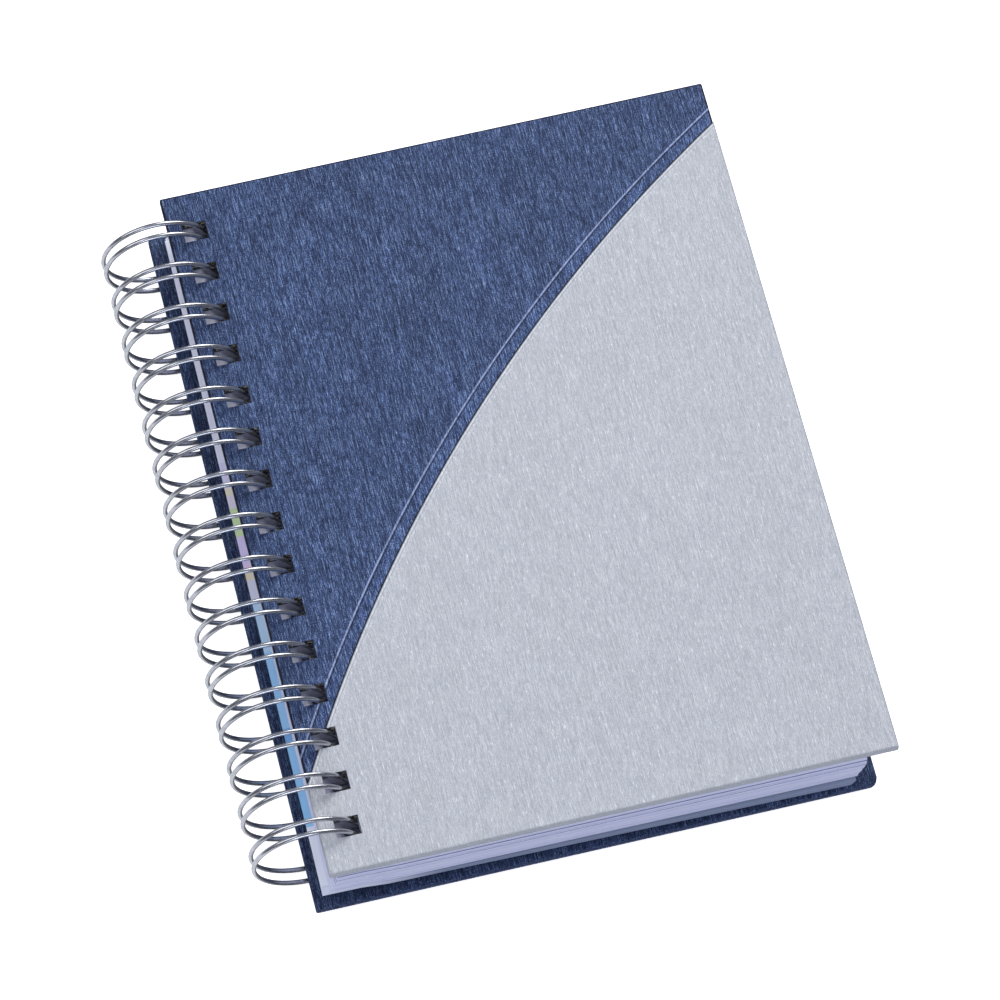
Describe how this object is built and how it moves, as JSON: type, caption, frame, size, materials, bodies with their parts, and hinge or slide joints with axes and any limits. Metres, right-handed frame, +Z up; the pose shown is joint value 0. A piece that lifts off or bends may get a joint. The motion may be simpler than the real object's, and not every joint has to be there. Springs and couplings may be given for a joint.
{
  "type": "wire-bound hardcover notebook",
  "caption": "Hardcover notebook with board covers, a curved two-tone panel and a thick page block, hung on a twin-loop wire binding along its long edge.",
  "frame": {"origin": "bottom centre of the closed book's box, at the level of the lowest point of the wire loops", "axes": "+X from the spine to the fore-edge, +Y from the foot to the head, +Z up out of the front cover"},
  "size_m": [0.1683, 0.2018, 0.0309],
  "materials": {
    "greyboard": "raw grey board, cut edges",
    "blue_paper": "brushed metallic paper, satin",
    "silver_paper": "brushed metallic paper, satin",
    "lining_paper": "matt dark paper",
    "page_paper": "uncoated white paper",
    "wire": "bright drawn wire"
  },
  "bodies": {
    "book_block": {"page_block": "page_paper", "binding_wire": "wire"},
    "front_cover": {"front_board": "greyboard", "front_wrap": "blue_paper", "silver_panel": "silver_paper", "front_liner": "lining_paper"},
    "back_cover": {"back_board": "greyboard", "back_wrap": "blue_paper", "back_liner": "lining_paper"}
  },
  "joints": [
    {"name": "front_cover_turn", "type": "hinge", "parent": "book_block", "child": "front_cover", "pos_m": [-0.06871, 0, 0.01545], "axis": [0, -1, 0], "range_deg": [0, 180]},
    {"name": "back_cover_turn", "type": "hinge", "parent": "book_block", "child": "back_cover", "pos_m": [-0.06871, 0, 0.01545], "axis": [0, 1, 0], "range_deg": [0, 180]}
  ]
}
